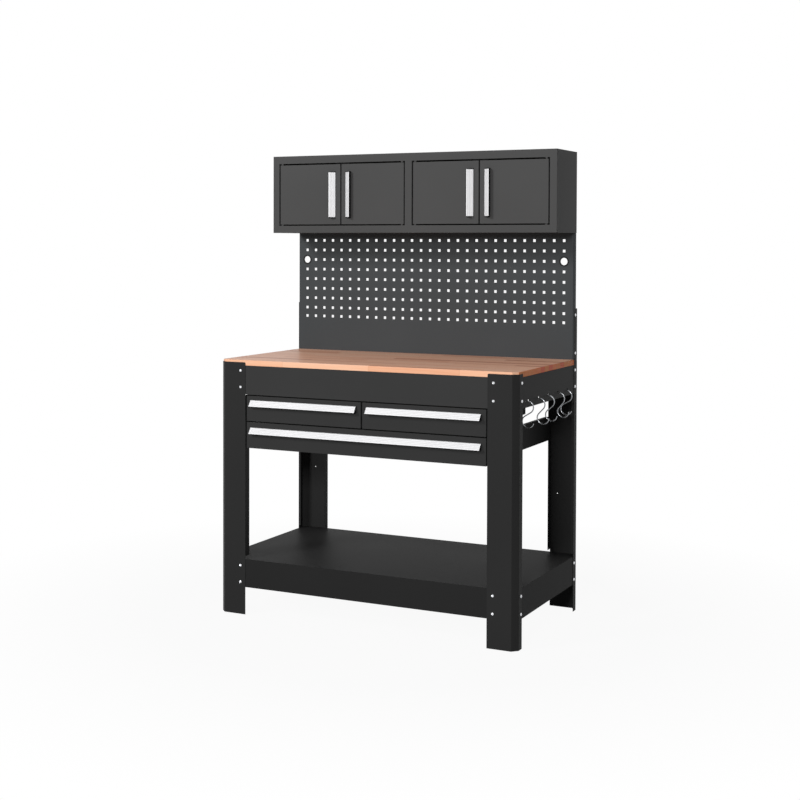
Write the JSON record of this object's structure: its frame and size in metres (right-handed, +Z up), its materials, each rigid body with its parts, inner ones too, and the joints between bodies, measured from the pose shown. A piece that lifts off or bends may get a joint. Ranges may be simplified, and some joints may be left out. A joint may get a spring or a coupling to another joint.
{
  "type": "workbench with wall cabinets",
  "caption": "Steel workbench with wood worktop, drawers, lower shelf, side hooks, perforated back panel and a wall cabinet with doors.",
  "frame": {"origin": "bottom centre of the whole object, on the floor", "axes": "+X to the right of the bench seen from the front, +Y to the rear, +Z up"},
  "size_m": [1.1884, 0.6604, 1.6774],
  "materials": {
    "grey_painted_steel": "fine textured powder coat, dark grey",
    "panel_paint": "fine textured powder coat, dark grey",
    "cabinet_paint": "smooth satin powder coat, mid grey",
    "drawer_paint": "satin powder coat, dark grey",
    "aluminium": "brushed and clear anodised",
    "black_plastic": "matt moulded",
    "hardwood": "oiled laminated hardwood strips",
    "zinc_plated_steel": "bright zinc plate",
    "chromed_wire": "bright chrome plate"
  },
  "bodies": {
    "frame": {"leg_front_left": "grey_painted_steel", "leg_front_right": "grey_painted_steel", "leg_rear_left": "grey_painted_steel", "leg_rear_right": "grey_painted_steel", "front_apron": "grey_painted_steel", "rear_apron": "grey_painted_steel", "side_apron_left": "grey_painted_steel", "side_apron_right": "grey_painted_steel", "worktop": "hardwood", "lower_shelf": "grey_painted_steel", "shelf_stiffener": "grey_painted_steel", "back_panel": "panel_paint", "cable_grommets": "black_plastic", "slide_outer_members": "zinc_plated_steel", "drawer_side_rails": "grey_painted_steel", "slide_hangers": "grey_painted_steel", "cabinet_case": "cabinet_paint", "cabinet_back": "cabinet_paint", "cabinet_divider": "cabinet_paint", "hinge_pins": "cabinet_paint", "door_catches": "black_plastic", "frame_bolts": "zinc_plated_steel", "frame_nuts": "zinc_plated_steel", "rail_rivets": "grey_painted_steel"},
    "drawer_upper_left": {"drawer_upper_left_front": "drawer_paint", "drawer_upper_left_box": "drawer_paint", "drawer_upper_left_pull": "aluminium", "drawer_upper_left_pull_caps": "black_plastic", "drawer_upper_left_slide_inner": "zinc_plated_steel"},
    "slide_upper_left": {"drawer_upper_left_slide_middle": "zinc_plated_steel"},
    "drawer_upper_right": {"drawer_upper_right_front": "drawer_paint", "drawer_upper_right_box": "drawer_paint", "drawer_upper_right_pull": "aluminium", "drawer_upper_right_pull_caps": "black_plastic", "drawer_upper_right_slide_inner": "zinc_plated_steel"},
    "slide_upper_right": {"drawer_upper_right_slide_middle": "zinc_plated_steel"},
    "drawer_lower": {"drawer_lower_front": "drawer_paint", "drawer_lower_box": "drawer_paint", "drawer_lower_pull": "aluminium", "drawer_lower_pull_caps": "black_plastic", "drawer_lower_slide_inner": "zinc_plated_steel"},
    "slide_lower": {"drawer_lower_slide_middle": "zinc_plated_steel"},
    "door_1": {"door_1_panel": "cabinet_paint", "door_1_pull": "aluminium", "door_1_pull_caps": "black_plastic"},
    "door_2": {"door_2_panel": "cabinet_paint", "door_2_pull": "aluminium", "door_2_pull_caps": "black_plastic"},
    "door_3": {"door_3_panel": "cabinet_paint", "door_3_pull": "aluminium", "door_3_pull_caps": "black_plastic"},
    "door_4": {"door_4_panel": "cabinet_paint", "door_4_pull": "aluminium", "door_4_pull_caps": "black_plastic"},
    "hook_1": {"hook_1": "chromed_wire"},
    "hook_2": {"hook_2": "chromed_wire"},
    "hook_3": {"hook_3": "chromed_wire"},
    "hook_4": {"hook_4": "chromed_wire"},
    "hook_5": {"hook_5": "chromed_wire"}
  },
  "joints": [
    {"name": "drawer_upper_left_travel", "type": "slide", "parent": "frame", "child": "drawer_upper_left", "axis": [0, -1, 0], "range_m": [0, 0.33]},
    {"name": "slide_upper_left_travel", "type": "slide", "parent": "frame", "child": "slide_upper_left", "axis": [0, -1, 0], "range_m": [0, 0.165]},
    {"name": "drawer_upper_right_travel", "type": "slide", "parent": "frame", "child": "drawer_upper_right", "axis": [0, -1, 0], "range_m": [0, 0.33]},
    {"name": "slide_upper_right_travel", "type": "slide", "parent": "frame", "child": "slide_upper_right", "axis": [0, -1, 0], "range_m": [0, 0.165]},
    {"name": "drawer_lower_travel", "type": "slide", "parent": "frame", "child": "drawer_lower", "axis": [0, -1, 0], "range_m": [0, 0.33]},
    {"name": "slide_lower_travel", "type": "slide", "parent": "frame", "child": "slide_lower", "axis": [0, -1, 0], "range_m": [0, 0.165]},
    {"name": "door_1_hinge", "type": "hinge", "parent": "frame", "child": "door_1", "pos_m": [-0.55125, 0.07685, 1.5294], "axis": [0, 0, -1], "range_deg": [0, 90]},
    {"name": "door_2_hinge", "type": "hinge", "parent": "frame", "child": "door_2", "pos_m": [-0.04515, 0.07685, 1.5294], "axis": [0, 0, 1], "range_deg": [0, 90]},
    {"name": "door_3_hinge", "type": "hinge", "parent": "frame", "child": "door_3", "pos_m": [0.00845, 0.07685, 1.5294], "axis": [0, 0, -1], "range_deg": [0, 90]},
    {"name": "door_4_hinge", "type": "hinge", "parent": "frame", "child": "door_4", "pos_m": [0.51455, 0.07685, 1.5294], "axis": [0, 0, 1], "range_deg": [0, 90]},
    {"name": "hook_1_swing", "type": "hinge", "parent": "frame", "child": "hook_1", "pos_m": [0.55205, -0.20715, 0.815], "axis": [0, 1, 0], "range_deg": [-32, 7]},
    {"name": "hook_2_swing", "type": "hinge", "parent": "frame", "child": "hook_2", "pos_m": [0.55205, -0.10515, 0.815], "axis": [0, 1, 0], "range_deg": [-17, 22]},
    {"name": "hook_3_swing", "type": "hinge", "parent": "frame", "child": "hook_3", "pos_m": [0.55205, -0.00315, 0.815], "axis": [0, 1, 0], "range_deg": [-22, 17]},
    {"name": "hook_4_swing", "type": "hinge", "parent": "frame", "child": "hook_4", "pos_m": [0.55205, 0.09885, 0.815], "axis": [0, 1, 0], "range_deg": [-14, 25]},
    {"name": "hook_5_swing", "type": "hinge", "parent": "frame", "child": "hook_5", "pos_m": [0.55205, 0.20085, 0.815], "axis": [0, 1, 0], "range_deg": [-34, 5]}
  ],
  "couplings": [
    {"joint": "slide_upper_left_travel", "follows": "drawer_upper_left_travel", "ratio": 0.5},
    {"joint": "slide_upper_right_travel", "follows": "drawer_upper_right_travel", "ratio": 0.5},
    {"joint": "slide_lower_travel", "follows": "drawer_lower_travel", "ratio": 0.5}
  ]
}
